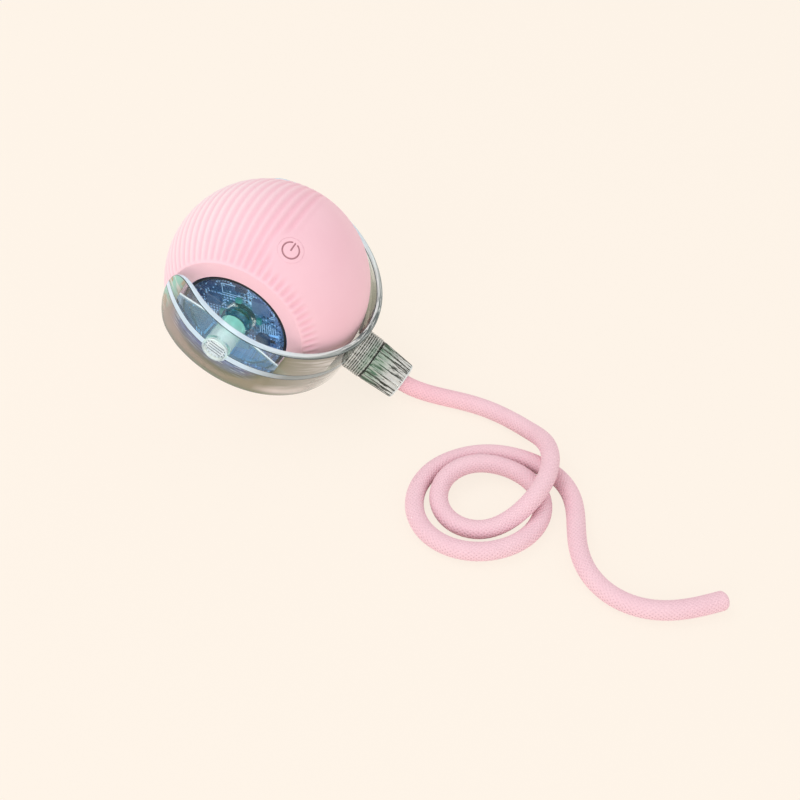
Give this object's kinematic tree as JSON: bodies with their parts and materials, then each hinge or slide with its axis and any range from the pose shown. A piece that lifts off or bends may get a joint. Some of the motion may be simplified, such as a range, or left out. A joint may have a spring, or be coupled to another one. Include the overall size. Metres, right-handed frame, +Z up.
{
  "type": "self rolling cat ball",
  "caption": "Motorised cat toy ball in a ridged silicone sleeve, with clear end windows, a swivelling clear yoke and a long soft rope tail.",
  "frame": {"origin": "middle of the small flat foot at the bottom of the ball, on the floor", "axes": "+Z up; Y along the pole axis of the ball, the front window towards -Y; the neck and tail leave towards +X"},
  "size_m": [0.1598, 0.0769, 0.0531],
  "materials": {
    "silicone_sleeve": "matte moulded silicone with fine ridges",
    "power_button": "smooth silicone",
    "front_shell": "moulded, off-white",
    "rear_shell": "moulded, off-white",
    "front_window": "clear, polished",
    "rear_window": "clear, polished",
    "clear_yoke": "clear with a light smoke tint",
    "tail_cap": "clear, ribbed",
    "front_pivot_bush": "turned",
    "rear_pivot_bush": "turned",
    "front_pivot_pin": "turned, notched head",
    "rear_pivot_pin": "turned, notched head",
    "tail_ferrule": "crimped",
    "tail_rope": "knitted round cord",
    "circuit_board": "blue solder mask",
    "button_board": "blue solder mask",
    "control_chip": "black moulding",
    "motor_driver_chip": "black moulding",
    "motion_sensor": "black moulding",
    "button_switch": "black moulding",
    "supply_coil": "dark ferrite",
    "timing_crystal": "tinned can",
    "lamp_upper": "teal lamp",
    "lamp_lower": "teal lamp",
    "lamp_left": "teal lamp",
    "lamp_right": "teal lamp",
    "battery_plug": "white moulding",
    "light_shield": "black ring",
    "charging_socket": "drawn steel shell",
    "battery": "foil pouch",
    "chassis_plate": "grey moulding",
    "button_post": "grey moulding",
    "drive_motor": "drawn can",
    "motor_end_cap": "black moulding",
    "motor_pinion": "machined",
    "idler_gear": "cream moulding",
    "output_gear": "cream moulding",
    "idler_pin": "turned",
    "weight_axle": "turned",
    "axle_clip": "stamped",
    "swing_weight": "cast and tumbled",
    "chassis_screw_1": "zinc plated",
    "chassis_screw_2": "zinc plated",
    "chassis_screw_3": "zinc plated",
    "board_pillar_1": "turned",
    "board_pillar_2": "turned",
    "board_pillar_3": "turned",
    "board_pillar_4": "turned"
  },
  "bodies": {
    "ball": {"silicone_sleeve": "silicone_sleeve", "front_shell": "front_shell", "rear_shell": "rear_shell", "front_window": "front_window", "rear_window": "rear_window", "front_pivot_bush": "front_pivot_bush", "rear_pivot_bush": "rear_pivot_bush", "circuit_board": "circuit_board", "button_board": "button_board", "control_chip": "control_chip", "motor_driver_chip": "motor_driver_chip", "motion_sensor": "motion_sensor", "button_switch": "button_switch", "supply_coil": "supply_coil", "timing_crystal": "timing_crystal", "lamp_upper": "lamp_upper", "lamp_lower": "lamp_lower", "lamp_left": "lamp_left", "lamp_right": "lamp_right", "battery_plug": "battery_plug", "light_shield": "light_shield", "charging_socket": "charging_socket", "battery": "battery", "chassis_plate": "chassis_plate", "button_post": "button_post", "drive_motor": "drive_motor", "motor_end_cap": "motor_end_cap", "idler_pin": "idler_pin", "weight_axle": "weight_axle", "axle_clip": "axle_clip", "chassis_screw_1": "chassis_screw_1", "chassis_screw_2": "chassis_screw_2", "chassis_screw_3": "chassis_screw_3", "board_pillar_1": "board_pillar_1", "board_pillar_2": "board_pillar_2", "board_pillar_3": "board_pillar_3", "board_pillar_4": "board_pillar_4"},
    "yoke": {"clear_yoke": "clear_yoke", "front_pivot_pin": "front_pivot_pin", "rear_pivot_pin": "rear_pivot_pin", "tail_ferrule": "tail_ferrule", "tail_rope": "tail_rope"},
    "cap": {"tail_cap": "tail_cap"},
    "button": {"power_button": "power_button"},
    "pendulum": {"output_gear": "output_gear", "swing_weight": "swing_weight"},
    "idler": {"idler_gear": "idler_gear"},
    "rotor": {"motor_pinion": "motor_pinion"}
  },
  "joints": [
    {"name": "yoke_swivel", "type": "hinge", "parent": "ball", "child": "yoke", "pos_m": [0, 0, 0.02645], "axis": [0, 1, 0], "continuous": true},
    {"name": "cap_turn", "type": "hinge", "parent": "yoke", "child": "cap", "pos_m": [0.02901, 0, 0.0095], "axis": [0.8634, 0, -0.5045], "range_deg": [0, 90]},
    {"name": "button_press", "type": "slide", "parent": "ball", "child": "button", "axis": [-0.4876, 0.3762, -0.7879], "range_m": [0, 0.0006], "stiffness_N_per_m": 800, "springref_m": -0.0002},
    {"name": "weight_swing", "type": "hinge", "parent": "ball", "child": "pendulum", "pos_m": [0, 0, 0.02645], "axis": [0, 1, 0], "continuous": true},
    {"name": "idler_spin", "type": "hinge", "parent": "ball", "child": "idler", "pos_m": [0.00448, 0, 0.03823], "axis": [0, 1, 0], "continuous": true},
    {"name": "rotor_spin", "type": "hinge", "parent": "ball", "child": "rotor", "pos_m": [-0.00558, 0, 0.03651], "axis": [0, 1, 0], "continuous": true}
  ],
  "couplings": [
    {"joint": "idler_spin", "follows": "weight_swing", "ratio": -3.2},
    {"joint": "rotor_spin", "follows": "weight_swing", "ratio": 7.68}
  ]
}
